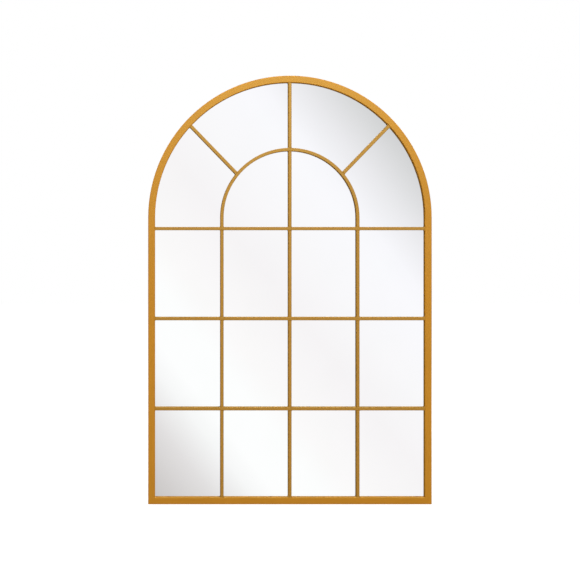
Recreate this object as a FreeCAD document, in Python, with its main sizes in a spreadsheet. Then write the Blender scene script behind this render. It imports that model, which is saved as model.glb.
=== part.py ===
import FreeCAD
import Part
import Sketcher
import math
import os
import re

# Arched wall mirror with a window grid. A bent steel tube and a mitred rail make the frame. A flat bar
# welded behind them makes the rebate that holds the glass. Bars lap over each other in front of the glass.
#
# Each piece is drawn in the mirror's drawing frame: x to the right seen from the front, y from the front
# face towards the wall, z up from the underside of the bottom rail. Its Placement then moves it to the
# mirror's own origin, which lies on the wall, midway between the two hooks that the raised rings hang on.

# Driving dimensions, in millimetres and degrees.
SIZES = {
    # The outline, seen from the front
    "frame_width": 610.0,
    "frame_height": 922.0,
    # The front tube, a hollow rectangle
    "tube_face": 15.0,
    "tube_depth": 6.0,
    "tube_wall": 1.2,
    "tube_corner": 1.5,
    # The flat bar that makes the rebate behind the tube
    "rebate_width": 6.0,
    "rebate_depth": 10.0,
    "rebate_corner": 0.8,
    # The grid of bars, as deep as the tube
    "bar_face": 7.0,
    "bar_corner": 1.0,
    "column_share": 0.504,
    "top_bar_drop": 24.0,
    "spoke_angle": 46.0,
    "lap_clearance": 0.1,
    "cope_gap": 0.1,
    # The glass and what lies in front of it and behind it
    "tape_thickness": 1.0,
    "tape_width": 5.0,
    "pad_radius": 3.0,
    "glass_thickness": 3.0,
    "glass_clearance": 1.5,
    "glass_arris": 0.5,
    "foam_thickness": 1.0,
    "foam_inset": 2.0,
    "board_thickness": 3.0,
    "block_length": 20.0,
    # The clips that press the backing board in, and the screws of clips and plates
    "clip_width": 12.0,
    "clip_sheet": 1.2,
    "clip_reach": 12.0,
    "clip_corner": 3.0,
    "clip_margin": 0.3,
    "screw_radius": 1.5,
    "screw_length": 8.0,
    "screw_chamfer": 0.5,
    "screw_clearance": 0.1,
    "screw_head_radius": 2.7,
    "screw_head_rim": 0.7,
    "screw_head_dome": 1.1,
    "recess_width": 0.7,
    "recess_length": 3.0,
    "recess_depth": 1.0,
    # The plates on the stiles that carry the rings
    "hanger_drop": 55.0,
    "plate_height": 44.0,
    "plate_sheet": 1.5,
    "plate_reach": 32.0,
    "plate_screw_pitch": 28.0,
    # The straps with a rolled eye, and their rivets
    "strap_inset": 24.0,
    "strap_rise": 8.0,
    "strap_width": 9.0,
    "strap_sheet": 1.0,
    "strap_drop": 13.0,
    "strap_corner": 3.0,
    "eye_opening": 60.0,
    "rivet_drop": 7.5,
    "rivet_radius": 1.5,
    "rivet_head_radius": 2.8,
    "rivet_head_rim": 0.4,
    "rivet_head_dome": 0.8,
    "rivet_clearance": 0.1,
    # The rings, bent from round wire
    "wire_radius": 1.25,
    "eye_clearance": 0.1,
    "ring_half_width": 7.75,
    "ring_corner": 2.5,
    "ring_drop": 22.0,
    # The rubber bumpers that keep the mirror off the wall
    "bumper_length": 5.0,
    "bumper_radius": 2.9,
    "bumper_tip_radius": 2.5,
    "bumper_edge": 0.5,
    "bumper_stem_radius": 1.6,
    "bumper_stem_length": 6.0,
    "bumper_clearance": 0.1,
    "bumper_height": 32.0,
    # How far a cut runs past the surface that it opens
    "overrun": 2.0,
}

# Sizes that follow from the driving dimensions.
DERIVED = {
    "half_width": "frame_width / 2",
    "spring_height": "frame_height - half_width",
    "inner_half_width": "half_width - tube_face",
    "half_bar": "bar_face / 2",
    "column_pitch": "inner_half_width * column_share",
    "top_height": "spring_height - top_bar_drop",
    "pane_height": "(top_height - half_bar - 2 * bar_face - tube_face) / 3",
    "lower_height": "tube_face + pane_height + half_bar",
    "middle_height": "lower_height + pane_height + bar_face",
    "lap_half_width": "half_bar + lap_clearance",
    "bar_middle": "tube_depth / 2",
    "glass_front": "tube_depth + tape_thickness",
    "foam_front": "glass_front + glass_thickness",
    "board_front": "foam_front + foam_thickness",
    "board_back": "board_front + board_thickness",
    "frame_back": "tube_depth + rebate_depth",
    "wall_plane": "frame_back + bumper_length",
    "glass_inset": "rebate_width + glass_clearance",
    "screw_line": "half_width - rebate_width / 2",
    "board_step": "frame_back - board_back",
    "pilot_radius": "screw_radius + screw_clearance",
    "stem_hole_radius": "bumper_stem_radius + bumper_clearance",
    "rivet_hole_radius": "rivet_radius + rivet_clearance",
    "eye_inner_radius": "wire_radius + eye_clearance",
    "eye_outer_radius": "eye_inner_radius + strap_sheet",
    "hanger_height": "spring_height - hanger_drop",
    "pivot_line": "half_width - strap_inset",
    "pivot_height": "hanger_height + strap_rise",
    "pivot_depth": "board_back + plate_sheet + eye_outer_radius",
    "hook_height": "pivot_height + ring_drop - wire_radius",
}

# Where clips and bumpers stand, as shares of the straight stile and of the half turn of the arch.
STILE_CLIP_SHARES = (0.18, 0.48, 0.76)
ARCH_CLIP_SHARES = (0.125, 0.375, 0.625, 0.875)
ARCH_BUMPER_SHARES = {"left": 0.75, "right": 0.25}

ROWS = {"lower": "lower_height", "middle": "middle_height", "top": "top_height"}
COLUMNS = ("-column_pitch", "0", "column_pitch")
SIDES = {"left": "-1", "right": "1"}
LEFT, RIGHT = 1, -1
ORIGIN_POINT = (-1, 1)
START, END, CENTRE = range(1, 4)
# How nearly alike two directions or places must be to count as the same.
CLOSE = 1e-6
X_AXIS, Y_AXIS, Z_AXIS = (FreeCAD.Vector(*axis) for axis in ((1, 0, 0), (0, 1, 0), (0, 0, 1)))

DOC = FreeCAD.newDocument("ArchedWallMirror")
SHEET = DOC.addObject("Spreadsheet::Sheet", "Sizes")


# Formulas on the sheet


def fill_sheet():
    """Write each driving dimension into its own cell, under its own name."""
    for row, (name, number) in enumerate(SIZES.items(), start=1):
        SHEET.set(f"A{row}", name)
        SHEET.set(f"B{row}", str(number))
        SHEET.setAlias(f"B{row}", name)
    DOC.recompute()


def on_sheet(text):
    """Open up the derived sizes in a formula and point each driving dimension at its cell."""

    def opened(match):
        word = match.group()
        if word in DERIVED:
            return f"({on_sheet(DERIVED[word])})"
        return f"Sizes.{word}" if word in SIZES else word

    return re.sub(r"[a-z]+(?:_[a-z]+)*", opened, text)


def value(text):
    """The number that a formula comes to."""
    return float(SHEET.evalExpression(on_sheet(text)))


def bind(thing, **formulas):
    """Tie properties of a document object to formulas."""
    for name, text in formulas.items():
        thing.setExpression(name, on_sheet(text))


def place(thing, x="0", y="0", z="0", turn=None):
    """Put a piece at a point of the drawing frame, turned about y, and move it to the mirror's origin."""
    if turn is not None:
        thing.Placement.Rotation = FreeCAD.Rotation(Y_AXIS, value(turn))
    thing.setExpression("Placement.Base.x", on_sheet(x))
    thing.setExpression("Placement.Base.y", on_sheet(f"{y} - wall_plane"))
    thing.setExpression("Placement.Base.z", on_sheet(f"{z} - hook_height"))
    return thing


# Sketches, every corner of which is tied to formulas


def new_sketch(body, plane, name):
    """A sketch on one of the body's own origin planes."""
    sketch = body.newObject("Sketcher::SketchObject", name)
    planes = {feature.Role: feature for feature in body.Origin.OriginFeatures}
    sketch.AttachmentSupport = [(planes[plane], "")]
    sketch.MapMode = "FlatFace"
    return sketch


def point(formulas):
    """A sketch point at two formulas."""
    x, y = formulas
    return FreeCAD.Vector(value(x), value(y), 0)


def pin(sketch, kind, geometry, vertex, text):
    """Tie one coordinate of a sketch vertex, measured from the sketch's origin, to a formula."""
    rule = Sketcher.Constraint(kind, *ORIGIN_POINT, geometry, vertex, value(text))
    index = sketch.addConstraint(rule)
    sketch.setExpression(f"Constraints[{index}]", on_sheet(text))


def arc_between(start, end, centre, turn):
    """An arc from start to end about centre, which turns left or right."""
    first, last = (start, end) if turn == LEFT else (end, start)
    angles = [math.atan2(p.y - centre.y, p.x - centre.x) for p in (first, last)]
    circle = Part.Circle(centre, Z_AXIS, first.distanceToPoint(centre))
    return Part.ArcOfCircle(circle, *angles)


def draw(sketch, corners, closed=True):
    """Draw an outline through its corners and tie all of it to formulas.

    A corner (x, y) is reached along a straight line. A corner (x, y, centre_x, centre_y, turn) is
    reached along an arc about that centre, which turns LEFT or RIGHT.
    """
    sides = []
    followers = corners[1:] + corners[:1] if closed else corners[1:]
    for corner, follower in zip(corners, followers):
        start, end = point(corner[:2]), point(follower[:2])
        if len(follower) == 2:
            line = sketch.addGeometry(Part.LineSegment(start, end), False)
            sides.append((line, START, END))
            continue
        turn = follower[4]
        arc = sketch.addGeometry(arc_between(start, end, point(follower[2:4]), turn), False)
        sides.append((arc, START, END) if turn == LEFT else (arc, END, START))
        level = abs(end.x - start.x) >= abs(end.y - start.y)
        kind, text = ("DistanceY", follower[3]) if level else ("DistanceX", follower[2])
        pin(sketch, kind, arc, CENTRE, text)
    nexts = sides[1:] + sides[:1] if closed else sides[1:]
    for (side, _, end), (after, start, _) in zip(sides, nexts):
        sketch.addConstraint(Sketcher.Constraint("Coincident", side, end, after, start))
    for (side, start, _), corner in zip(sides, corners):
        pin(sketch, "DistanceX", side, start, corner[0])
        pin(sketch, "DistanceY", side, start, corner[1])
    if not closed:
        pin(sketch, "DistanceX", sides[-1][0], sides[-1][2], corners[-1][0])
        pin(sketch, "DistanceY", sides[-1][0], sides[-1][2], corners[-1][1])


def draw_circle(sketch, x, y, radius):
    """Draw a circle tied to its formulas."""
    circle = Part.Circle(point((x, y)), Z_AXIS, value(radius))
    geometry = sketch.addGeometry(circle, False)
    pin(sketch, "DistanceX", geometry, CENTRE, x)
    pin(sketch, "DistanceY", geometry, CENTRE, y)
    index = sketch.addConstraint(Sketcher.Constraint("Radius", geometry, value(radius)))
    sketch.setExpression(f"Constraints[{index}]", on_sheet(radius))


def rectangle(left, right, low, high):
    """The corners of a rectangle."""
    return [(left, low), (right, low), (right, high), (left, high)]


def rounded_rectangle(left, right, low, high, radius):
    """The corners of a rectangle with four quarter rounds."""
    near_left, near_right = f"{left} + {radius}", f"{right} - {radius}"
    near_low, near_high = f"{low} + {radius}", f"{high} - {radius}"
    return [
        (near_left, low, near_left, near_low, LEFT),
        (near_right, low),
        (right, near_low, near_right, near_low, LEFT),
        (right, near_high),
        (near_right, high, near_right, near_high, LEFT),
        (near_left, high),
        (left, near_high, near_left, near_high, LEFT),
        (left, near_low),
    ]


def arch_outline(inset):
    """The corners of the frame's arched outline, drawn in by an inset."""
    reach = f"(half_width - ({inset}))"
    return [
        (f"-{reach}", inset),
        (reach, inset),
        (reach, "spring_height"),
        (f"-{reach}", "spring_height", "0", "spring_height", LEFT),
    ]


def arch_path(reach, foot):
    """The corners of an open path: up one stile, over the arch and down the other."""
    return [
        (f"-({reach})", foot),
        (f"-({reach})", "spring_height"),
        (reach, "spring_height", "0", "spring_height", RIGHT),
        (reach, foot),
    ]


# Features of a body


def new_body(name):
    """An empty body, named as its piece."""
    return DOC.addObject("PartDesign::Body", name)


def pad(body, sketch, name, length, both_ways=False, backwards=False):
    """Thicken a sketch by a length."""
    feature = body.newObject("PartDesign::Pad", name)
    feature.Profile = sketch
    feature.SideType = "Symmetric" if both_ways else "One side"
    feature.Reversed = backwards
    bind(feature, Length=length)
    DOC.recompute()
    return feature


def cut(body, sketch, name, depth=None, both_ways=False, backwards=False):
    """Cut a sketch into a body, to a depth or all the way through, and see that it takes something away."""
    before = body.Tip.Shape.Volume
    feature = body.newObject("PartDesign::Pocket", name)
    feature.Profile = sketch
    feature.SideType = "Symmetric" if both_ways else "One side"
    feature.Reversed = backwards
    if depth is None:
        feature.Type = "ThroughAll"
    else:
        bind(feature, Length=depth)
    DOC.recompute()
    if feature.Shape.Volume >= before:
        raise ValueError(f"{body.Name}: {name} cuts nothing away")
    return feature


def sweep(body, profile, path, name, kind="PartDesign::AdditivePipe"):
    """Run a profile along every edge of a path, to add to the body or to hollow it."""
    feature = body.newObject(kind, name)
    feature.Profile = profile
    DOC.recompute()
    edges = [f"Edge{number}" for number in range(1, len(path.Shape.Edges) + 1)]
    feature.Spine = (path, edges)
    DOC.recompute()
    return feature


def revolve(body, sketch, name):
    """Turn a sketch all the way round its own vertical axis."""
    feature = body.newObject("PartDesign::Revolution", name)
    feature.Profile = sketch
    feature.ReferenceAxis = (sketch, ["V_Axis"])
    DOC.recompute()
    return feature


def runs_along(edge, axis):
    """Whether an edge is straight and runs along an axis."""
    return isinstance(edge.Curve, Part.Line) and edge.Curve.Direction.cross(axis).Length < CLOSE


def soften(body, name, rule, kind="PartDesign::Fillet", **size):
    """Round or chamfer every edge of a body that meets a rule."""
    base = body.Tip
    edges = [f"Edge{number}" for number, edge in enumerate(base.Shape.Edges, start=1) if rule(edge)]
    feature = body.newObject(kind, name)
    feature.Base = (base, edges)
    bind(feature, **size)
    DOC.recompute()
    return feature


# The frame


def cut_mitres(body, name, of_rail):
    """Mitre the ends of the rail, or the feet of the hoop, along the line from corner to corner."""
    sketch = new_sketch(body, "XZ_Plane", name)
    for side in SIDES.values():
        outside, low = f"{side} * (half_width + overrun)", "-overrun"
        inside, high = f"{side} * (inner_half_width - overrun)", "tube_face + overrun"
        waste = (outside, high) if of_rail else (inside, low)
        draw(sketch, [(outside, low), waste, (inside, high)])
    cut(body, sketch, f"{name}_cut", both_ways=True)


def front_hoop():
    """The bent tube: two stiles and the arch in one length, mitred at both feet."""
    body = new_body("front_hoop")
    outer = new_sketch(body, "XY_Plane", "hoop_section")
    inner_face = "-half_width + tube_face"
    draw(outer, rounded_rectangle("-half_width", inner_face, "0", "tube_depth", "tube_corner"))
    path = new_sketch(body, "XZ_Plane", "hoop_path")
    draw(path, arch_path("half_width - tube_face / 2", "0"), closed=False)
    sweep(body, outer, path, "hoop_tube")
    bore = new_sketch(body, "XY_Plane", "hoop_bore_section")
    bore_sides = ("-half_width + tube_wall", "-half_width + tube_face - tube_wall")
    draw(bore, rectangle(*bore_sides, "tube_wall", "tube_depth - tube_wall"))
    sweep(body, bore, path, "hoop_bore", kind="PartDesign::SubtractivePipe")
    cut_mitres(body, "hoop_mitres", of_rail=False)
    return place(body)


def bottom_rail():
    """The straight tube across the foot, mitred at both ends to meet the hoop."""
    body = new_body("bottom_rail")
    section = new_sketch(body, "YZ_Plane", "rail_section")
    draw(section, rounded_rectangle("0", "tube_depth", "0", "tube_face", "tube_corner"))
    bore = ("tube_wall", "tube_depth - tube_wall", "tube_wall", "tube_face - tube_wall")
    draw(section, rectangle(*bore))
    pad(body, section, "rail_tube", "frame_width", both_ways=True)
    cut_mitres(body, "rail_mitres", of_rail=True)
    return place(body)


def stile_places(shares):
    """Places on the rebate's centre line up both stiles, and the turn that faces each inwards."""
    heights = [f"{share} * spring_height" for share in shares]
    left = [("-screw_line", height, "0") for height in heights]
    right = [("screw_line", height, "180") for height in heights]
    return left + right


def arch_places(shares):
    """Places on the rebate's centre line round the arch, and the turn that faces each inwards."""
    places = []
    for share in shares:
        angle = f"({share} * 180)"
        x = f"screw_line * cos({angle})"
        z = f"spring_height + screw_line * sin({angle})"
        places.append((x, z, f"180 - {angle}"))
    return places


def rail_places():
    """Places along the rebate's rail, one behind each upright, and the turn that faces each up."""
    return [(column, "rebate_width / 2", "-90") for column in COLUMNS]


def plate_screw_places(side):
    """The two screws of one hanger plate."""
    line = f"{SIDES[side]} * screw_line"
    return [(line, f"hanger_height + {way} * plate_screw_pitch / 2", "0") for way in ("-1", "1")]


def bumper_place(side, end):
    """The hole of one bumper, at the foot of a stile or up on the arch."""
    if end == "lower":
        return (f"{SIDES[side]} * screw_line", "bumper_height")
    return arch_places([ARCH_BUMPER_SHARES[side]])[0][:2]


def rebate_hoop():
    """The flat bar welded behind the hoop, drilled for its screws and bumpers."""
    body = new_body("rebate_hoop")
    section = new_sketch(body, "XY_Plane", "rebate_section")
    sides = ("-half_width", "-half_width + rebate_width")
    draw(section, rounded_rectangle(*sides, "-rebate_depth", "0", "rebate_corner"))
    path = new_sketch(body, "XZ_Plane", "rebate_path")
    draw(path, arch_path("screw_line", "0"), closed=False)
    sweep(body, section, path, "rebate_bar")
    pilots = new_sketch(body, "XZ_Plane", "rebate_pilots")
    places = stile_places(STILE_CLIP_SHARES) + arch_places(ARCH_CLIP_SHARES)
    for side in SIDES:
        places += plate_screw_places(side)
    for x, z, _ in places:
        draw_circle(pilots, x, z, "pilot_radius")
    cut(body, pilots, "rebate_pilot_holes", depth="screw_length", backwards=True)
    stems = new_sketch(body, "XZ_Plane", "rebate_stems")
    for side in SIDES:
        for end in ("lower", "upper"):
            draw_circle(stems, *bumper_place(side, end), "stem_hole_radius")
    cut(body, stems, "rebate_stem_holes", depth="bumper_stem_length + bumper_clearance", backwards=True)
    return place(body, y="frame_back")


def rebate_rail():
    """The flat bar welded behind the bottom rail, between the legs of the rebate hoop."""
    body = new_body("rebate_rail")
    section = new_sketch(body, "YZ_Plane", "rebate_rail_section")
    draw(section, rounded_rectangle("-rebate_depth", "0", "0", "rebate_width", "rebate_corner"))
    pad(body, section, "rebate_rail_bar", "frame_width - 2 * rebate_width", both_ways=True)
    pilots = new_sketch(body, "XZ_Plane", "rebate_rail_pilots")
    for x, z, _ in rail_places():
        draw_circle(pilots, x, z, "pilot_radius")
    cut(body, pilots, "rebate_rail_holes", depth="screw_length", backwards=True)
    return place(body, y="frame_back")


# The grid


def lap(body, name, crossings, half_width, half_height, from_back):
    """Cut away half the depth of a bar, from its back or its front, where other bars cross it."""
    sketch = new_sketch(body, "XZ_Plane", f"{name}_sketch")
    for x, z in crossings:
        sides = (f"{x} - ({half_width})", f"{x} + {half_width}")
        draw(sketch, rectangle(*sides, f"{z} - ({half_height})", f"{z} + {half_height}"))
    return cut(body, sketch, name, backwards=not from_back)


def centre_muntin():
    """The upright bar from the bottom rail to the crown, lapped under every bar that crosses it."""
    body = new_body("centre_muntin")
    face = new_sketch(body, "XZ_Plane", "muntin_face")
    crown = "inner_half_width - cope_gap"
    shoulder = f"spring_height + sqrt(({crown})^2 - half_bar^2)"
    corners = [
        ("-half_bar", "tube_face"),
        ("half_bar", "tube_face"),
        ("half_bar", shoulder),
        ("-half_bar", shoulder, "0", "spring_height", LEFT),
    ]
    draw(face, corners)
    pad(body, face, "muntin_bar", "tube_depth", both_ways=True)
    soften(body, "muntin_rounds", lambda edge: runs_along(edge, Z_AXIS), Radius="bar_corner")
    crossings = [("0", height) for height in ROWS.values()] + [("0", "spring_height + column_pitch")]
    lap(body, "muntin_laps", crossings, "half_bar + overrun", "lap_half_width", from_back=False)
    return place(body, y="bar_middle")


def inner_hoop():
    """The bent bar: two legs and a half-round, lapped under the crossbars and over the centre bar."""
    body = new_body("inner_hoop")
    section = new_sketch(body, "XY_Plane", "inner_hoop_section")
    bind(section, **{"AttachmentOffset.Base.z": "tube_face"})
    sides = ("-column_pitch - half_bar", "-column_pitch + half_bar")
    draw(section, rounded_rectangle(*sides, "-bar_middle", "bar_middle", "bar_corner"))
    path = new_sketch(body, "XZ_Plane", "inner_hoop_path")
    draw(path, arch_path("column_pitch", "tube_face"), closed=False)
    sweep(body, section, path, "inner_hoop_bar")
    crossings = [(x, z) for x in COLUMNS if x != "0" for z in ROWS.values()]
    lap(body, "leg_laps", crossings, "half_bar + overrun", "lap_half_width", from_back=False)
    crown = [("0", "spring_height + column_pitch")]
    lap(body, "crown_lap", crown, "lap_half_width", "half_bar + overrun", from_back=True)
    return place(body, y="bar_middle")


def crossbar(row):
    """A level bar from stile to stile, lapped over the three uprights."""
    body = new_body(f"{row}_crossbar")
    face = new_sketch(body, "XZ_Plane", "crossbar_face")
    draw(face, rectangle("-inner_half_width", "inner_half_width", "-half_bar", "half_bar"))
    pad(body, face, "crossbar_bar", "tube_depth", both_ways=True)
    soften(body, "crossbar_rounds", lambda edge: runs_along(edge, X_AXIS), Radius="bar_corner")
    crossings = [(x, "0") for x in COLUMNS]
    lap(body, "crossbar_laps", crossings, "lap_half_width", "half_bar + overrun", from_back=True)
    return place(body, y="bar_middle", z=ROWS[row])


def right_spoke():
    """The slanting bar from the inner hoop to the arch, coped to both.

    It is drawn along its own x axis, from the crossing of the centre bar and the top crossbar, which its
    centre line passes through. The arches' centre lies above that crossing.
    """
    body = new_body("right_spoke")
    rise = "(spring_height - top_height)"
    centre = (f"{rise} * sin(spoke_angle)", f"{rise} * cos(spoke_angle)")
    inner = "(column_pitch + half_bar + cope_gap)"
    outer = "(inner_half_width - cope_gap)"

    def end(radius, edge):
        return (f"{centre[0]} + sqrt({radius}^2 - ({edge} - {centre[1]})^2)", edge)

    corners = [
        (*end(inner, "-half_bar"), *centre, RIGHT),
        end(outer, "-half_bar"),
        (*end(outer, "half_bar"), *centre, LEFT),
        end(inner, "half_bar"),
    ]
    face = new_sketch(body, "XZ_Plane", "spoke_face")
    draw(face, corners)
    pad(body, face, "spoke_bar", "tube_depth", both_ways=True)
    soften(body, "spoke_rounds", lambda edge: runs_along(edge, X_AXIS), Radius="bar_corner")
    return place(body, y="bar_middle", z="top_height", turn="-spoke_angle")


# The glass and its packing


def sheet_piece(name, inset, thickness, front):
    """An arched sheet, drawn in from the frame's outline by an inset."""
    body = new_body(name)
    face = new_sketch(body, "XZ_Plane", f"{name}_face")
    draw(face, arch_outline(inset))
    pad(body, face, f"{name}_sheet", thickness, backwards=True)
    return place(body, y=front)


def glazing_tape():
    """The foam strip between the tube's back and the edge of the glass."""
    body = new_body("glazing_tape")
    face = new_sketch(body, "XZ_Plane", "tape_face")
    draw(face, arch_outline("glass_inset"))
    draw(face, arch_outline("glass_inset + tape_width"))
    pad(body, face, "tape_strip", "tape_thickness", backwards=True)
    return place(body, y="tube_depth")


def glass_pads():
    """Soft discs between the crossings of the bars and the glass."""
    body = new_body("glass_pads")
    face = new_sketch(body, "XZ_Plane", "pad_face")
    crossings = [(x, z) for x in COLUMNS for z in ROWS.values()] + [("0", "spring_height + column_pitch")]
    for x, z in crossings:
        draw_circle(face, x, z, "pad_radius")
    pad(body, face, "pad_discs", "tape_thickness", backwards=True)
    return place(body, y="tube_depth")


def mirror_glass():
    """The silvered sheet, with its sharp edges ground off."""
    body = sheet_piece("mirror_glass", "glass_inset", "glass_thickness", "glass_front")
    soften(
        body,
        "glass_arris_cut",
        lambda edge: not runs_along(edge, Y_AXIS),
        kind="PartDesign::Chamfer",
        Size="glass_arris",
    )
    return body


def setting_blocks():
    """Two rubber blocks on the rebate's rail, which the glass and the board stand on."""
    body = new_body("setting_blocks")
    face = new_sketch(body, "XZ_Plane", "block_face")
    for side in SIDES.values():
        middle = f"{side} * column_pitch"
        sides = (f"{middle} - block_length / 2", f"{middle} + block_length / 2")
        draw(face, rectangle(*sides, "rebate_width", "glass_inset"))
    pad(body, face, "block_pads", "board_back - glass_front", backwards=True)
    return place(body, y="glass_front")


# The fasteners at the back


def stepped_plate(body, sheet, reach, width, holes):
    """A plate with its foot on the rebate bar and its tongue one step down, on the backing board.

    It is drawn with the foot's screw line on its z axis, the tongue along x and the wall along y.
    """
    heel = "-(rebate_width / 2 - clip_margin)"
    leg = "(rebate_width / 2 + clip_margin)"
    profile = new_sketch(body, "XY_Plane", "plate_profile")
    corners = [
        (heel, "0"),
        (leg, "0"),
        (leg, "-board_step"),
        (f"{leg} + {reach}", "-board_step"),
        (f"{leg} + {reach}", f"-board_step + {sheet}"),
        (f"{leg} + {sheet}", f"-board_step + {sheet}"),
        (f"{leg} + {sheet}", sheet),
        (heel, sheet),
    ]
    draw(profile, corners)
    pad(body, profile, "plate_blank", width, both_ways=True)
    tip = value(f"{leg} + {reach}")

    def at_tip(edge):
        return runs_along(edge, Y_AXIS) and abs(edge.Vertexes[0].X - tip) < CLOSE

    soften(body, "plate_tips", at_tip, Radius="clip_corner")
    drilled = new_sketch(body, "XZ_Plane", "plate_holes")
    for x, z, radius in holes:
        draw_circle(drilled, x, z, radius)
    cut(body, drilled, "plate_drilling", both_ways=True)


def group(name, pattern, places, depth):
    """One node of like pieces: copies of a pattern's shape at one depth, each a solid of its own."""
    copies = []
    for x, z, turn in places:
        copy = pattern.Shape.copy()
        spot = FreeCAD.Vector(value(x), 0, value(z))
        copy.Placement = FreeCAD.Placement(spot, FreeCAD.Rotation(Y_AXIS, value(turn)))
        copies.append(copy)
    node = DOC.addObject("Part::Feature", name)
    node.Shape = Part.makeCompound(copies)
    return place(node, y=depth)


def screw_pattern():
    """A pan-head screw, drawn with the underside of its head at the origin and its shank towards -y."""
    body = new_body("screw_pattern")
    section = new_sketch(body, "XY_Plane", "screw_section")
    tip = "screw_radius - screw_chamfer"
    crown = "screw_head_rim + screw_head_dome"
    dome_radius = "((screw_head_radius^2 + screw_head_dome^2) / (2 * screw_head_dome))"
    corners = [
        ("0", "-screw_length"),
        (tip, "-screw_length"),
        ("screw_radius", "-screw_length + screw_chamfer"),
        ("screw_radius", "0"),
        ("screw_head_radius", "0"),
        ("screw_head_radius", "screw_head_rim"),
        ("0", crown, "0", f"{crown} - {dome_radius}", LEFT),
    ]
    draw(section, corners)
    revolve(body, section, "screw_turned")
    recess = new_sketch(body, "XZ_Plane", "screw_recess")
    bind(recess, **{"AttachmentOffset.Base.z": f"recess_depth - ({crown})"})
    arm, edge = "recess_length / 2", "recess_width / 2"
    quarter = [(arm, f"-{edge}"), (arm, edge), (edge, edge)]
    outline = []
    for _ in range(4):
        outline += quarter
        quarter = [(f"-({y})", x) for x, y in quarter]
    draw(recess, outline)
    cut(body, recess, "screw_cross")
    return body


def rivet_pattern():
    """A domed rivet, drawn with the underside of its head at the origin and its shank towards -y."""
    body = new_body("rivet_pattern")
    section = new_sketch(body, "XY_Plane", "rivet_section")
    crown = "rivet_head_rim + rivet_head_dome"
    dome_radius = "((rivet_head_radius^2 + rivet_head_dome^2) / (2 * rivet_head_dome))"
    corners = [
        ("0", "-(strap_sheet + plate_sheet)"),
        ("rivet_radius", "-(strap_sheet + plate_sheet)"),
        ("rivet_radius", "0"),
        ("rivet_head_radius", "0"),
        ("rivet_head_radius", "rivet_head_rim"),
        ("0", crown, "0", f"{crown} - {dome_radius}", LEFT),
    ]
    draw(section, corners)
    revolve(body, section, "rivet_turned")
    return body


def clip_places():
    """Where every board clip stands."""
    return stile_places(STILE_CLIP_SHARES) + arch_places(ARCH_CLIP_SHARES) + rail_places()


def board_clips():
    """The stepped clips that press the backing board in."""
    pattern = new_body("clip_pattern")
    holes = [("0", "0", "pilot_radius")]
    stepped_plate(pattern, "clip_sheet", "clip_reach", "clip_width", holes)
    return group("board_clips", pattern, clip_places(), "frame_back")


def clip_screws(pattern):
    """One screw through the foot of each clip."""
    return group("clip_screws", pattern, clip_places(), "frame_back + clip_sheet")


def hanger_screws(pattern):
    """Two screws through the foot of each hanger plate."""
    places = plate_screw_places("left") + plate_screw_places("right")
    return group("hanger_screws", pattern, places, "frame_back + plate_sheet")


def left_hanger_plate():
    """The plate that carries a ring, screwed to the stile with its tongue over the board."""
    body = new_body("left_hanger_plate")
    rivet_x = "(screw_line - pivot_line)"
    rivet_z = "(strap_rise - rivet_drop)"
    holes = [
        ("0", "-plate_screw_pitch / 2", "pilot_radius"),
        ("0", "plate_screw_pitch / 2", "pilot_radius"),
        (rivet_x, rivet_z, "rivet_hole_radius"),
    ]
    stepped_plate(body, "plate_sheet", "plate_reach", "plate_height", holes)
    return place(body, x="-screw_line", y="frame_back", z="hanger_height")


def left_strap():
    """The steel strap, its top rolled into an open eye round the ring's bar.

    It is drawn about the ring's axis: the leaf hangs down in front of it, against the hanger plate.
    """
    body = new_body("left_strap")
    profile = new_sketch(body, "YZ_Plane", "strap_profile")
    corners = [
        ("-eye_outer_radius", "-strap_drop"),
        ("-eye_outer_radius", "0"),
        (*eye_end("eye_outer_radius"), "0", "0", RIGHT),
        eye_end("eye_inner_radius"),
        ("-eye_inner_radius", "0", "0", "0", LEFT),
        ("-eye_inner_radius", "-strap_drop"),
    ]
    draw(profile, corners)
    pad(body, profile, "strap_blank", "strap_width", both_ways=True)
    low = value("-strap_drop")

    def at_foot(edge):
        return runs_along(edge, Y_AXIS) and abs(edge.Vertexes[0].Z - low) < CLOSE

    soften(body, "strap_tips", at_foot, Radius="strap_corner")
    drilled = new_sketch(body, "XZ_Plane", "strap_hole")
    draw_circle(drilled, "0", "-rivet_drop", "rivet_hole_radius")
    cut(body, drilled, "strap_drilling", both_ways=True)
    return place(body, x="-pivot_line", y="pivot_depth", z="pivot_height")


def eye_end(radius):
    """Where the rolled eye stops, below and behind the ring's bar."""
    return (f"{radius} * cos(eye_opening)", f"-{radius} * sin(eye_opening)")


def left_ring():
    """The D-ring, bent from one round wire, hanging from its bar."""
    body = new_body("left_ring")
    path = new_sketch(body, "XZ_Plane", "ring_path")
    bar_end = "ring_half_width - ring_corner"
    round_height = "-(ring_drop - ring_half_width)"
    corners = [
        ("0", "0"),
        (bar_end, "0"),
        ("ring_half_width", "-ring_corner", bar_end, "-ring_corner", RIGHT),
        ("ring_half_width", round_height),
        ("-ring_half_width", round_height, "0", round_height, RIGHT),
        ("-ring_half_width", "-ring_corner"),
        (f"-({bar_end})", "0", f"-({bar_end})", "-ring_corner", RIGHT),
    ]
    draw(path, corners)
    wire = new_sketch(body, "YZ_Plane", "ring_wire")
    draw_circle(wire, "0", "0", "wire_radius")
    sweep(body, wire, path, "ring_bend")
    return place(body, x="-pivot_line", y="pivot_depth", z="pivot_height")


def strap_rivets(pattern):
    """One rivet through each strap and its plate."""
    places = [(f"{side} * pivot_line", "pivot_height - rivet_drop", "0") for side in SIDES.values()]
    return group("strap_rivets", pattern, places, "board_back + plate_sheet + strap_sheet")


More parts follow.
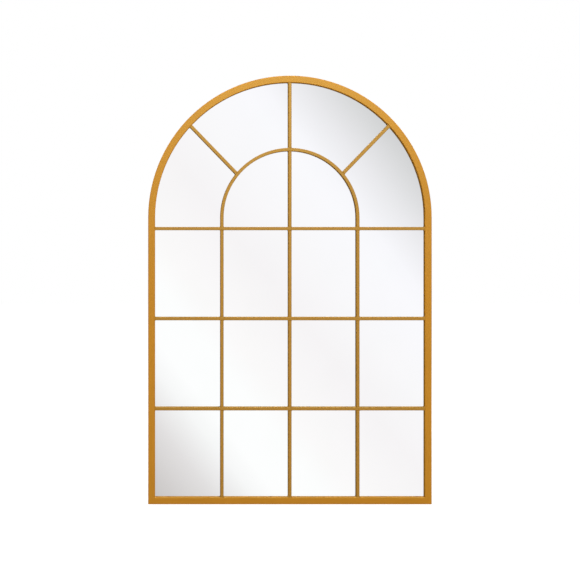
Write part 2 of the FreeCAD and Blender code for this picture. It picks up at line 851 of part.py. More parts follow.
def bumper(side, end):
    """A tapered rubber bumper with its stem pushed into the rebate bar."""
    body = new_body(f"{end}_{side}_bumper")
    section = new_sketch(body, "XY_Plane", "bumper_section")
    shoulder = "bumper_length - bumper_edge"
    corners = [
        ("0", "-bumper_stem_length"),
        ("bumper_stem_radius", "-bumper_stem_length"),
        ("bumper_stem_radius", "0"),
        ("bumper_radius", "0"),
        ("bumper_tip_radius", shoulder),
        ("bumper_tip_radius - bumper_edge", "bumper_length"),
        ("0", "bumper_length"),
    ]
    draw(section, corners)
    revolve(body, section, "bumper_turned")
    x, z = bumper_place(side, end)
    return place(body, x=x, y="frame_back", z=z)


def mirrored(source):
    """The right-hand twin of a left-hand piece, or the other way round."""
    name = source.Name
    swap = {"left": "right", "right": "left"}
    side, rest = name.split("_", 1)
    twin = DOC.addObject("Part::Mirroring", f"{swap[side]}_{rest}")
    twin.Source = source
    twin.Normal = X_AXIS
    DOC.recompute()
    return twin


# The whole mirror


def build():
    """Make every piece, in the order in which the mirror is put together."""
    fill_sheet()
    pieces = [front_hoop(), bottom_rail(), rebate_hoop(), rebate_rail()]
    pieces += [centre_muntin(), inner_hoop()]
    pieces += [crossbar(row) for row in ROWS]
    spoke = right_spoke()
    pieces += [spoke, mirrored(spoke)]
    pieces += [glazing_tape(), glass_pads(), mirror_glass()]
    pieces.append(sheet_piece("foam_sheet", "glass_inset + foam_inset", "foam_thickness", "foam_front"))
    pieces.append(sheet_piece("backing_board", "glass_inset", "board_thickness", "board_front"))
    pieces.append(setting_blocks())
    screw = screw_pattern()
    pieces += [board_clips(), clip_screws(screw), hanger_screws(screw)]
    for left_piece in (left_hanger_plate(), left_strap(), left_ring()):
        pieces += [left_piece, mirrored(left_piece)]
    pieces.append(strap_rivets(rivet_pattern()))
    pieces += [bumper(side, end) for end in ("upper", "lower") for side in SIDES]
    DOC.recompute()
    return pieces


def check(pieces):
    """Stop if the document or a piece has failed."""
    for thing in DOC.Objects:
        if "Invalid" in thing.State or "Error" in thing.State:
            raise ValueError(f"{thing.Name} has failed: {thing.State}")
    for piece in pieces:
        if piece.Shape.isNull() or not piece.Shape.isValid():
            raise ValueError(f"{piece.Name} has no valid shape")


def main():
    """Build the mirror, check it and write one file for each piece."""
    pieces = build()
    check(pieces)
    os.makedirs("parts", exist_ok=True)
    for piece in pieces:
        piece.Shape.exportStep(f"parts/{piece.Label}.step")
        box = piece.Shape.BoundBox
        print(
            f"{piece.Label}: {len(piece.Shape.Solids)} solids, {piece.Shape.Volume:.0f} mm3, "
            f"x {box.XMin:.1f} to {box.XMax:.1f}, y {box.YMin:.1f} to {box.YMax:.1f}, "
            f"z {box.ZMin:.1f} to {box.ZMax:.1f}"
        )
    print(f"ring axis: x {value('pivot_line'):.3f}, y {value('pivot_depth - wall_plane'):.3f}, "
          f"z {value('pivot_height - hook_height'):.3f}")


main()
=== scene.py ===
"""Looks of an arched wall mirror: a gold-painted window grid over a sheet of silvered glass.

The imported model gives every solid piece. This file gives each piece its finish, lays the weld beads in the
corners of the grid, and stands the mirror in a plain, softly lit studio.
"""

import logging
import math
from dataclasses import dataclass, field
from enum import Enum
from typing import Any, Iterator, Sequence, Union

import bmesh
import bpy
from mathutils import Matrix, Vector


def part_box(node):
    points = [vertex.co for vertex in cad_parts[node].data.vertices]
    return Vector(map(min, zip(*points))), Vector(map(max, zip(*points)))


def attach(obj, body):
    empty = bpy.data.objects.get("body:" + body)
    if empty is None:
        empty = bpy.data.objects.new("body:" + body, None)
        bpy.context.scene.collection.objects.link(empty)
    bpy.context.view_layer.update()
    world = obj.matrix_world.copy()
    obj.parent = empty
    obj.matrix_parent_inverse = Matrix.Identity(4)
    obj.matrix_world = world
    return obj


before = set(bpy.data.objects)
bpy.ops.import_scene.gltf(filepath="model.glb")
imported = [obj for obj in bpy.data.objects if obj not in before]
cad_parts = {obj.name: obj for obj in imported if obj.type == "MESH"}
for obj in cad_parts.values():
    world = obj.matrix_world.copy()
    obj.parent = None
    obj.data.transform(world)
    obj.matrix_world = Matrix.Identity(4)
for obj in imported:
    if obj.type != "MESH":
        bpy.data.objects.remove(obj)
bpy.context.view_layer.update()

LOG = logging.getLogger("mirror")
MIRROR_BODY = "mirror"

Colour = tuple[float, float, float]
Number = Union[float, "Term"]

WHITE: Colour = (1.0, 1.0, 1.0)
BLACK: Colour = (0.0, 0.0, 0.0)


# Shader building


@dataclass(frozen=True)
class Pattern:
    """Soft random patches: how many to a metre, the octaves of finer ones, and how strong those are."""

    scale: float
    detail: float
    rough: float


@dataclass(frozen=True)
class Relief:
    """Fine unevenness of a surface: its height in metres, and how strongly it shows."""

    height: float
    strength: float


@dataclass(frozen=True)
class Spread:
    """A value that follows a share: what it is where the share is 0, and what it gains up to 1."""

    base: float
    gain: float

    def at(self, share: "Term") -> "Term":
        """The value where the share is known."""
        return self.base + self.gain * share


class Term:
    """A number that varies over a surface. Arithmetic on it adds Math nodes."""

    def __init__(self, nodes: "Nodes", socket: bpy.types.NodeSocket) -> None:
        """Wrap one socket of a node tree."""
        self.nodes = nodes
        self.socket = socket

    def __add__(self, other: Number) -> "Term":
        """This plus another."""
        return self.nodes.math("ADD", self, other)

    __radd__ = __add__

    def __sub__(self, other: Number) -> "Term":
        """This less another."""
        return self.nodes.math("SUBTRACT", self, other)

    def __rsub__(self, other: Number) -> "Term":
        """Another less this."""
        return self.nodes.math("SUBTRACT", other, self)

    def __mul__(self, other: Number) -> "Term":
        """This times another."""
        return self.nodes.math("MULTIPLY", self, other)

    __rmul__ = __mul__

    def __truediv__(self, other: Number) -> "Term":
        """This over another."""
        return self.nodes.math("DIVIDE", self, other)

    def at_least(self, other: Number) -> "Term":
        """The larger of this and another."""
        return self.nodes.math("MAXIMUM", self, other)

    def at_most(self, other: Number) -> "Term":
        """The smaller of this and another."""
        return self.nodes.math("MINIMUM", self, other)

    def root(self) -> "Term":
        """The square root of this."""
        return self.nodes.math("SQRT", self)

    def blended(self, other: "Term", share: float) -> "Term":
        """This with a share of another in its place."""
        return self * (1.0 - share) + other * share

    def between(self, low: float, high: float) -> "Term":
        """This as a smooth share that goes from 0 at low to 1 at high.

        Args:
            low: The value that gives 0.
            high: The value that gives 1.

        Returns:
            The share, held within 0 and 1.
        """
        node = self.nodes.add(
            "ShaderNodeMapRange",
            {"interpolation_type": "SMOOTHSTEP"},
            {"Value": self, "From Min": low, "From Max": high},
        )
        return Term(self.nodes, node.outputs["Result"])


class Nodes:
    """A node tree under construction."""

    def __init__(self, tree: bpy.types.NodeTree) -> None:
        """Empty a tree and start anew."""
        tree.nodes.clear()
        self.tree = tree

    def add(self, kind: str, settings: dict[str, Any], inputs: dict[Any, Any]) -> bpy.types.Node:
        """Add one node.

        Args:
            kind: The node's type.
            settings: Its properties, set first; "stops" gives a ramp's positions and colours.
            inputs: A value, a Term or an output socket for each named or numbered input.

        Returns:
            The new node.
        """
        node = self.tree.nodes.new(kind)
        for name, setting in settings.items():
            if name == "stops":
                self._set_stops(node.color_ramp, setting)
            else:
                setattr(node, name, setting)
        for name, value in inputs.items():
            source = value.socket if isinstance(value, Term) else value
            if isinstance(source, bpy.types.NodeSocket):
                self.tree.links.new(source, node.inputs[name])
            else:
                node.inputs[name].default_value = source
        return node

    @staticmethod
    def _set_stops(ramp: bpy.types.ColorRamp, stops: Sequence[tuple[float, Colour]]) -> None:
        """Give a ramp its stops.

        Args:
            ramp: The ramp, which has its two stops as made.
            stops: Position and colour of each stop, in order.
        """
        for _ in range(len(stops) - len(ramp.elements)):
            ramp.elements.new(1.0)
        for element, (position, colour) in zip(ramp.elements, stops):
            element.position = position
            element.color = (*colour, 1.0)

    def math(self, operation: str, *values: Number) -> Term:
        """Add a Math node.

        Args:
            operation: Its operation.
            values: Its inputs, in order.

        Returns:
            Its result.
        """
        node = self.add("ShaderNodeMath", {"operation": operation}, dict(enumerate(values)))
        return Term(self, node.outputs[0])

    def parts(self, vector: bpy.types.NodeSocket) -> tuple[Term, Term, Term]:
        """Split a vector into its three numbers."""
        node = self.add("ShaderNodeSeparateXYZ", {}, {"Vector": vector})
        return tuple(Term(self, socket) for socket in node.outputs)

    def vector(self, *values: Number) -> bpy.types.NodeSocket:
        """Join three numbers into a vector."""
        return self.add("ShaderNodeCombineXYZ", {}, dict(enumerate(values))).outputs["Vector"]

    def place(self) -> bpy.types.NodeSocket:
        """The point of the surface, in metres in the mirror's own frame."""
        return self.add("ShaderNodeTexCoord", {}, {}).outputs["Object"]

    def patches(self, vector: bpy.types.NodeSocket, pattern: Pattern) -> Term:
        """Soft random patches.

        Args:
            vector: Where on the pattern each point lies.
            pattern: The pattern.

        Returns:
            A share around a half.
        """
        inputs = {
            "Vector": vector,
            "Scale": pattern.scale,
            "Detail": pattern.detail,
            "Roughness": pattern.rough,
        }
        return Term(self, self.add("ShaderNodeTexNoise", {}, inputs).outputs["Fac"])

    def mix(self, share: Number, first: Any, second: Any) -> bpy.types.NodeSocket:
        """Blend two colours.

        Args:
            share: How much of the second shows.
            first: A colour or a colour socket.
            second: A colour or a colour socket.

        Returns:
            The blended colour.
        """
        colours = [(*c, 1.0) if isinstance(c, tuple) else c for c in (first, second)]
        settings = {"data_type": "RGBA", "clamp_factor": True}
        node = self.add("ShaderNodeMix", settings, {0: share, 6: colours[0], 7: colours[1]})
        return node.outputs[2]

    def bump(self, share: Term, relief: Relief) -> bpy.types.NodeSocket:
        """The surface's normal, tilted by the slope of a share."""
        inputs = {"Height": share, "Distance": relief.height, "Strength": relief.strength}
        return self.add("ShaderNodeBump", {}, inputs).outputs["Normal"]

    def principled(self, inputs: dict[str, Any]) -> bpy.types.NodeSocket:
        """The shader of a stuff with the given colour, roughness and so on."""
        return self.add("ShaderNodeBsdfPrincipled", {}, inputs).outputs["BSDF"]

    def either(
        self,
        share: Number,
        first: bpy.types.NodeSocket,
        second: bpy.types.NodeSocket,
    ) -> bpy.types.NodeSocket:
        """Blend two shaders.

        Args:
            share: How much of the second shows.
            first: A shader.
            second: A shader.

        Returns:
            The blended shader.
        """
        return self.add("ShaderNodeMixShader", {}, {0: share, 1: first, 2: second}).outputs[0]


@dataclass(frozen=True)
class Finish:
    """A finish that pieces are dressed in."""

    name: str
    slot: str

    def surface(self, nodes: Nodes) -> bpy.types.NodeSocket:
        """The shader of this finish."""
        raise NotImplementedError

    def material(self) -> bpy.types.Material:
        """Build the material.

        Returns:
            A new material with this finish's shader.
        """
        material = bpy.data.materials.new(self.name)
        material.use_nodes = True
        nodes = Nodes(material.node_tree)
        nodes.add("ShaderNodeOutputMaterial", {}, {"Surface": self.surface(nodes)})
        return material


class Run(Enum):
    """Which way a bar runs, and so the marks in its paint: degrees from level, or round the arch."""

    LEVEL = 0.0
    UPRIGHT = 90.0
    RISING = 46.0
    FALLING = 134.0
    ARCHED = -1.0


@dataclass(frozen=True)
class GoldPaint(Finish):
    """Satin gold paint on steel: a dull body with metal flake in it, and fine marks along each bar."""

    run: Run = Run.LEVEL
    arch_centre: float = 0.0
    deep: Colour = (0.395, 0.151, 0.004)
    full: Colour = (0.425, 0.164, 0.006)
    flake: Colour = (1.0, 0.86, 0.32)
    flake_share: float = 0.085
    flake_spread: Spread = Spread(0.8, 0.4)
    marks_along: float = 14.0
    marks_across: float = 420.0
    marks: Pattern = Pattern(1.0, 3.0, 0.55)
    clouds: Pattern = Pattern(22.0, 2.0, 0.5)
    grains: Pattern = Pattern(2600.0, 1.0, 0.5)
    clouds_share: float = 0.45
    grains_share: float = 0.2
    full_from: float = 0.3
    full_at: float = 0.7
    relief: Relief = Relief(0.00001, 0.15)
    body_roughness: Spread = Spread(0.43, 0.06)
    flake_roughness: Spread = Spread(0.4, 0.06)

    def surface(self, nodes: Nodes) -> bpy.types.NodeSocket:
        """Paint whose depth, gloss, flake and relief follow its marks.

        Args:
            nodes: The tree.

        Returns:
            Its shader.
        """
        x, y, z = nodes.parts(nodes.place())
        along, across = self._run_of(nodes, x, z)
        streaks = nodes.vector(along * self.marks_along, y * self.marks_across, across * self.marks_across)
        marks = nodes.patches(streaks, self.marks)
        clouds = nodes.patches(nodes.place(), self.clouds)
        grains = nodes.patches(nodes.place(), self.grains)
        depth = marks.blended(clouds, self.clouds_share).between(self.full_from, self.full_at)
        normal = nodes.bump(marks.blended(grains, self.grains_share), self.relief)
        body = nodes.principled(
            {
                "Base Color": nodes.mix(depth, self.deep, self.full),
                "Roughness": self.body_roughness.at(marks),
                "Specular IOR Level": 0.0,
                "Normal": normal,
            }
        )
        metal = nodes.principled(
            {
                "Base Color": (*self.flake, 1.0),
                "Metallic": 1.0,
                "Roughness": self.flake_roughness.at(marks),
                "Normal": normal,
            }
        )
        return nodes.either(self.flake_share * self.flake_spread.at(grains), body, metal)

    def _run_of(self, nodes: Nodes, x: Term, z: Term) -> tuple[Term, Term]:
        """How far along and across its bar each point lies.

        Args:
            nodes: The tree.
            x: Place to the right.
            z: Height.

        Returns:
            Metres along the bar and metres across it.
        """
        if self.run is Run.ARCHED:
            rise = z - self.arch_centre
            above = rise.at_least(0.0)
            radius = (x * x + above * above).root()
            turn = nodes.math("ARCTAN2", x, above)
            return turn * radius + rise.at_most(0.0), radius
        angle = math.radians(self.run.value)
        return x * math.cos(angle) + z * math.sin(angle), z * math.cos(angle) - x * math.sin(angle)


@dataclass(frozen=True)
class SilveredGlass(Finish):
    """Float glass, silvered behind."""

    clear: Colour = (0.955, 0.965, 0.965)
    hazy: Colour = (0.945, 0.958, 0.955)
    haze: Pattern = Pattern(9.0, 3.0, 0.5)
    hazy_from: float = 0.35
    hazy_at: float = 0.75
    roughness: Spread = Spread(0.004, 0.01)

    def surface(self, nodes: Nodes) -> bpy.types.NodeSocket:
        """A clean reflection with the faintest wiping haze.

        Args:
            nodes: The tree.

        Returns:
            Its shader.
        """
        haze = nodes.patches(nodes.place(), self.haze).between(self.hazy_from, self.hazy_at)
        return nodes.principled(
            {
                "Base Color": nodes.mix(haze, self.clear, self.hazy),
                "Metallic": 1.0,
                "Roughness": self.roughness.at(haze),
            }
        )


@dataclass(frozen=True)
class Hardboard(Finish):
    """Pressed brown fibre board with a smooth face."""

    dark: Colour = (0.13, 0.068, 0.034)
    pale: Colour = (0.27, 0.155, 0.082)
    fleck: Colour = (0.40, 0.27, 0.16)
    fibres_across: float = 900.0
    fibres_along: float = 260.0
    fibres: Pattern = Pattern(1.0, 4.0, 0.65)
    clouds: Pattern = Pattern(14.0, 3.0, 0.6)
    flecks: Pattern = Pattern(420.0, 2.0, 0.7)
    clouds_share: float = 0.4
    fleck_share: float = 0.5
    fleck_from: float = 0.62
    fleck_at: float = 0.72
    roughness: Spread = Spread(0.5, 0.25)
    relief: Relief = Relief(0.00012, 0.35)

    def surface(self, nodes: Nodes) -> bpy.types.NodeSocket:
        """Fibres and flecks pressed into a brown ground.

        Args:
            nodes: The tree.

        Returns:
            Its shader.
        """
        x, y, z = nodes.parts(nodes.place())
        lie = nodes.vector(x * self.fibres_across, y * self.fibres_across, z * self.fibres_along)
        fibres = nodes.patches(lie, self.fibres)
        clouds = nodes.patches(nodes.place(), self.clouds)
        flecks = nodes.patches(nodes.place(), self.flecks).between(self.fleck_from, self.fleck_at)
        ground = nodes.mix(fibres.blended(clouds, self.clouds_share), self.dark, self.pale)
        return nodes.principled(
            {
                "Base Color": nodes.mix(flecks * self.fleck_share, ground, self.fleck),
                "Roughness": self.roughness.at(clouds),
                "Normal": nodes.bump(fibres, self.relief),
            }
        )


@dataclass(frozen=True)
class ZincPlate(Finish):
    """Bright zinc plating on pressed steel and wire."""

    blue: Colour = (0.50, 0.53, 0.57)
    warm: Colour = (0.66, 0.64, 0.60)
    clouds: Pattern = Pattern(95.0, 2.0, 0.5)
    scuffs: Pattern = Pattern(1500.0, 3.0, 0.6)
    warm_from: float = 0.3
    warm_at: float = 0.7
    roughness: Spread = Spread(0.24, 0.2)
    relief: Relief = Relief(0.00003, 0.4)

    def surface(self, nodes: Nodes) -> bpy.types.NodeSocket:
        """Plating that shades from bluish to warm, with fine scuffs.

        Args:
            nodes: The tree.

        Returns:
            Its shader.
        """
        clouds = nodes.patches(nodes.place(), self.clouds).between(self.warm_from, self.warm_at)
        scuffs = nodes.patches(nodes.place(), self.scuffs)
        return nodes.principled(
            {
                "Base Color": nodes.mix(clouds, self.blue, self.warm),
                "Metallic": 1.0,
                "Roughness": self.roughness.at(scuffs),
                "Normal": nodes.bump(scuffs, self.relief),
            }
        )


@dataclass(frozen=True)
class Grained(Finish):
    """A plain dull stuff with a fine grain, such as rubber or foam."""

    dark: Colour = (0.012, 0.012, 0.013)
    pale: Colour = (0.03, 0.03, 0.032)
    grain: Pattern = Pattern(1800.0, 3.0, 0.6)
    roughness: Spread = Spread(0.7, 0.2)
    relief: Relief = Relief(0.00005, 0.5)

    def surface(self, nodes: Nodes) -> bpy.types.NodeSocket:
        """A dull surface whose grain shows in its tone and its relief.

        Args:
            nodes: The tree.

        Returns:
            Its shader.
        """
        grain = nodes.patches(nodes.place(), self.grain)
        return nodes.principled(
            {
                "Base Color": nodes.mix(grain, self.dark, self.pale),
                "Roughness": self.roughness.at(grain),
                "Normal": nodes.bump(grain, self.relief),
            }
        )


def dress(node: str, finish: Finish) -> None:
    """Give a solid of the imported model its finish.

    Args:
        node: The solid's name.
        finish: What it is dressed in.
    """
    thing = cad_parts[node]
    thing.data.materials.clear()
    thing.data.materials.append(finish.material())
    LOG.info("%s is dressed in %s", node, finish.name)


# The mirror


@dataclass
class GridSizes:
    """Where the bars of the grid run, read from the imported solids, in metres."""

    half_bar: float
    inner_edge: float
    rail_top: float
    arch_centre: float
    column: float
    rows: list[float]

    @classmethod
    def read(cls) -> "GridSizes":
        """Measure the solids.

        Returns:
            The grid's sizes.
        """
        low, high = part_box("centre_muntin")
        hoop_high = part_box("front_hoop")[1]
        bars = [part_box(f"{row}_crossbar") for row in ("lower", "middle", "top")]
        return cls(
            half_bar=high.x,
            inner_edge=bars[0][1].x,
            rail_top=low.z,
            arch_centre=hoop_high.z - hoop_high.x,
            column=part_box("inner_hoop")[1].x - high.x,
            rows=[(bar[0].z + bar[1].z) / 2 for bar in bars],
        )


@dataclass
class PaintedFrame:
    """The welded steel: the hoop and rail, the rebate behind them and the grid of bars."""

    sizes: GridSizes
    slot: str = "gold_paint"
    # The bars' colours are the frame's paint darkened: painted shade for the thin bars, which catch less
    # light than the frame.
    bar_deep_shaded: Colour = (0.305, 0.137, 0.016)
    bar_full_shaded: Colour = (0.335, 0.15, 0.018)
    framing: tuple[str, ...] = ("front_hoop", "bottom_rail", "rebate_hoop", "rebate_rail")
    runs: dict[str, Run] = field(
        default_factory=lambda: {
            "front_hoop": Run.ARCHED,
            "bottom_rail": Run.LEVEL,
            "rebate_hoop": Run.ARCHED,
            "rebate_rail": Run.LEVEL,
            "centre_muntin": Run.UPRIGHT,
            "inner_hoop": Run.ARCHED,
            "lower_crossbar": Run.LEVEL,
            "middle_crossbar": Run.LEVEL,
            "top_crossbar": Run.LEVEL,
            "left_spoke": Run.FALLING,
            "right_spoke": Run.RISING,
        }
    )

    def paint(self, run: Run) -> GoldPaint:
        """The paint on the frame where it runs a given way."""
        return GoldPaint(f"gold_paint_{run.name.lower()}", self.slot, run, self.sizes.arch_centre)

    def shaded_bar_paint(self, run: Run) -> GoldPaint:
        """The frame's paint on the thin bars, darker and duller as painted shade for the lesser light that
        the bars catch.
        """
        name = f"shaded_bar_paint_{run.name.lower()}"
        return GoldPaint(name, self.slot, run, self.sizes.arch_centre, self.bar_deep_shaded, self.bar_full_shaded)

    def build(self) -> None:
        """Paint the frame and every bar."""
        for node, run in self.runs.items():
            dress(node, self.paint(run) if node in self.framing else self.shaded_bar_paint(run))


@dataclass
class WeldBeads:
    """The small hollow-faced beads of weld in the corners of the grid, painted over."""

    sizes: GridSizes
    paint: GoldPaint
    leg: float = 0.0020
    bite: float = 0.0002
    below_face: float = 0.0007
    steps: int = 6
    spoke_angle: float = Run.RISING.value

    def corners(self) -> Iterator[tuple[Vector, Vector, Vector]]:
        """Every corner that holds a bead.

        Yields:
            The corner, and the directions away from it along its two edges, all in the plane of the grid.
        """
        yield from self._crossings()
        yield from self._ends()
        yield from self._crown()
        yield from self._spokes()

    def _crossings(self) -> Iterator[tuple[Vector, Vector, Vector]]:
        """The four corners of each place where an upright crosses a level bar.

        Yields:
            Each corner with the directions of its edges.
        """
        half = self.sizes.half_bar
        for column in (-self.sizes.column, 0.0, self.sizes.column):
            for row in self.sizes.rows:
                for right in (-1, 1):
                    for up in (-1, 1):
                        corner = Vector((column + right * half, row + up * half))
                        yield corner, Vector((right, 0)), Vector((0, up))

    def _ends(self) -> Iterator[tuple[Vector, Vector, Vector]]:
        """Where level bars meet the stiles and uprights meet the rail.

        Yields:
            Each corner with the directions of its edges.
        """
        half, edge = self.sizes.half_bar, self.sizes.inner_edge
        for side in (-1, 1):
            for row in self.sizes.rows:
                for up in (-1, 1):
                    yield Vector((side * edge, row + up * half)), Vector((-side, 0)), Vector((0, up))
            for column in (-self.sizes.column, 0.0, self.sizes.column):
                yield Vector((column + side * half, self.sizes.rail_top)), Vector((0, 1)), Vector((side, 0))

    def _crown(self) -> Iterator[tuple[Vector, Vector, Vector]]:
        """Where the middle upright meets the outer arch and crosses the inner one.

        Yields:
            Each corner with the directions of its edges.
        """
        half = self.sizes.half_bar
        arcs = (
            (self.sizes.inner_edge, -1),
            (self.sizes.column - half, -1),
            (self.sizes.column + half, 1),
        )
        for radius, up in arcs:
            for side in (-1, 1):
                height = math.sqrt(radius**2 - half**2)
                arch_way = Vector((side * height, -half)).normalized()
                yield Vector((side * half, self.sizes.arch_centre + height)), Vector((0, up)), arch_way

    def _spokes(self) -> Iterator[tuple[Vector, Vector, Vector]]:
        """Where the two spokes meet the inner and outer arch.

        Yields:
            Each corner with the directions of its edges.
        """
        half = self.sizes.half_bar
        angle = math.radians(self.spoke_angle)
        way = Vector((math.cos(angle), math.sin(angle)))
        across = Vector((-way.y, way.x))
        centre = Vector((0, self.sizes.arch_centre))
        aim = Vector((0, self.sizes.rows[-1]))
        for radius, outward in ((self.sizes.column + half, 1), (self.sizes.inner_edge, -1)):
            for side in (-1, 1):
                edge = aim + across * (side * half)
                start = (edge - centre).dot(way)
                reach = -start + math.sqrt(start**2 + radius**2 - (edge - centre).length_squared)
                corner = edge + way * reach
                out = (corner - centre).normalized()
                arch_way = Vector((-out.y, out.x)) * side
                yield corner, way * outward, arch_way
                flip = Vector((-1, 1))
                yield corner * flip, way * outward * flip, arch_way * flip

    def build(self) -> bpy.types.Object:
        """Model all the beads as one piece.

        Returns:
            The piece.
        """
        low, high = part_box("centre_muntin")
        front, back = low.y + self.below_face, high.y
        shape = bmesh.new()
        count = 0
        for corner, first, second in self.corners():
            self._add_bead(shape, corner, first, second, front, back)
            count += 1
        bmesh.ops.recalc_face_normals(shape, faces=shape.faces)
        mesh = bpy.data.meshes.new("weld_beads")
        shape.to_mesh(mesh)
        shape.free()
        piece = bpy.data.objects.new("weld_beads", mesh)
        bpy.context.scene.collection.objects.link(piece)
        mesh.materials.append(self.paint.material())
        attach(piece, MIRROR_BODY)
        LOG.info("weld_beads: %d beads", count)
        return piece

    def _add_bead(
        self,
        shape: bmesh.types.BMesh,
        corner: Vector,
        first: Vector,
        second: Vector,
        front: float,
        back: float,
    ) -> None:
        """Add one bead.

        Args:
            shape: The mesh that it goes into.
            corner: The corner that it fills.
            first: The way along one edge.
            second: The way along the other edge.
            front: How far forward it reaches.
            back: How far back it reaches.
        """
        outline = [corner - (first + second) * self.bite]
        start, end = corner + first * self.leg, corner + second * self.leg
        outline.append(start - second * self.bite)
        for step in range(self.steps + 1):
            share = step / self.steps
            outline.append(
                start * (1 - share) ** 2 + corner * (2 * share * (1 - share)) + end * share**2
            )
        outline.append(end - first * self.bite)
        rings = []
        for depth in (front, back):
            rings.append([shape.verts.new((point.x, depth, point.y)) for point in outline])
        shape.faces.new(rings[0])
        shape.faces.new(rings[1])
        for number in range(len(outline)):
            after = (number + 1) % len(outline)
            side = (rings[0][number], rings[0][after], rings[1][after], rings[1][number])
            shape.faces.new(side)


@dataclass
class Glazing:
    """The silvered glass and what packs it in its rebate."""

    glass: SilveredGlass = SilveredGlass("silvered_glass", "mirror")
    board: Hardboard = Hardboard("hardboard", "hardboard")
    foam: Grained = Grained(
        "closed_cell_foam",
        "foam",
        dark=(0.035, 0.035, 0.036),
        pale=(0.075, 0.075, 0.078),
        grain=Pattern(1100.0, 3.0, 0.6),
    )
    rubber: Grained = Grained("block_rubber", "rubber")

    def build(self) -> None:
        """Dress the glass and its packing."""
        dress("mirror_glass", self.glass)
        dress("backing_board", self.board)
        for node in ("glazing_tape", "glass_pads", "foam_sheet"):
            dress(node, self.foam)
        dress("setting_blocks", self.rubber)


@dataclass
class BackFittings:
    """Clips, hanger plates, straps, rings, screws and bumpers behind the mirror."""

    zinc: ZincPlate = ZincPlate("zinc_plate", "zinc_steel")
    rubber: Grained = Grained("bumper_rubber", "rubber")

    def build(self) -> None:
        """Dress the fittings."""
        for node in ("board_clips", "clip_screws", "hanger_screws", "strap_rivets"):
            dress(node, self.zinc)
        for side in ("left", "right"):
            for fitting in ("hanger_plate", "strap", "ring"):
                dress(f"{side}_{fitting}", self.zinc)
            for end in ("upper", "lower"):
                dress(f"{end}_{side}_bumper", self.rubber)


# The studio


@dataclass(frozen=True)
class Lamp:
    """One soft box: where it hangs, what it faces, its size in metres and its power in watts."""

    name: str
    place: tuple[float, float, float]
    size: float
    power: float
    aim: tuple[float, float, float] = (0.0, 0.0, 0.0)
    mirrored: bool = False

    def build(self) -> None:
        """Hang the lamp, seen in polished surfaces only if it is to be mirrored."""
        light = bpy.data.lights.new(self.name, "AREA")
        light.shape = "SQUARE"
        light.size = self.size
        light.energy = self.power
        lamp = bpy.data.objects.new(self.name, light)
        bpy.context.scene.collection.objects.link(lamp)
        lamp.location = self.place
        lamp.visible_glossy = self.mirrored
        lamp.rotation_mode = "QUATERNION"
        lamp.rotation_quaternion = (Vector(self.aim) - Vector(self.place)).to_track_quat("-Z", "Y")
        LOG.info("%s hangs at %s", self.name, self.place)


@dataclass
class Floor:
    """The plain pale floor, which fades into the white round it and still keeps the mirror's shadow."""

    size: float = 14.0
    colour: Colour = (0.35, 0.35, 0.35)
    glow_spread: Spread = Spread(0.78, 0.2)
    fade_from: float = 0.4
    fade_to: float = 1.2

    def build(self) -> None:
        """Lay the floor under the rail of the mirror."""
        half = self.size / 2
        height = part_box("bottom_rail")[0].z
        corners = [(x * half, y * half, height) for x, y in ((-1, -1), (1, -1), (1, 1), (-1, 1))]
        mesh = bpy.data.meshes.new("studio_floor")
        mesh.from_pydata(corners, [], [(0, 1, 2, 3)])
        mesh.materials.append(self._material())
        floor = bpy.data.objects.new("studio_floor", mesh)
        bpy.context.scene.collection.objects.link(floor)
        LOG.info("studio_floor lies at %.4f", height)

    def _material(self) -> bpy.types.Material:
        """The floor's paint, which polished surfaces don't show.

        Returns:
            Its material.
        """
        material = bpy.data.materials.new("studio_floor")
        material.use_nodes = True
        nodes = Nodes(material.node_tree)
        path = nodes.add("ShaderNodeLightPath", {}, {})
        seen, glossy = (Term(nodes, path.outputs[name]) for name in ("Is Camera Ray", "Is Glossy Ray"))
        x, y, _ = nodes.parts(nodes.place())
        far = (x * x + y * y).root().between(self.fade_from, self.fade_to)
        matt = nodes.principled(
            {
                "Base Color": (*self.colour, 1.0),
                "Roughness": 1.0,
                "Specular IOR Level": 0.0,
                "Emission Color": nodes.mix(seen * self.glow_spread.at(far), BLACK, WHITE),
                "Emission Strength": 1.0,
            }
        )
        clear = nodes.add("ShaderNodeBsdfTransparent", {}, {}).outputs[0]
        nodes.add("ShaderNodeOutputMaterial", {}, {"Surface": nodes.either(glossy, matt, clear)})
        return material


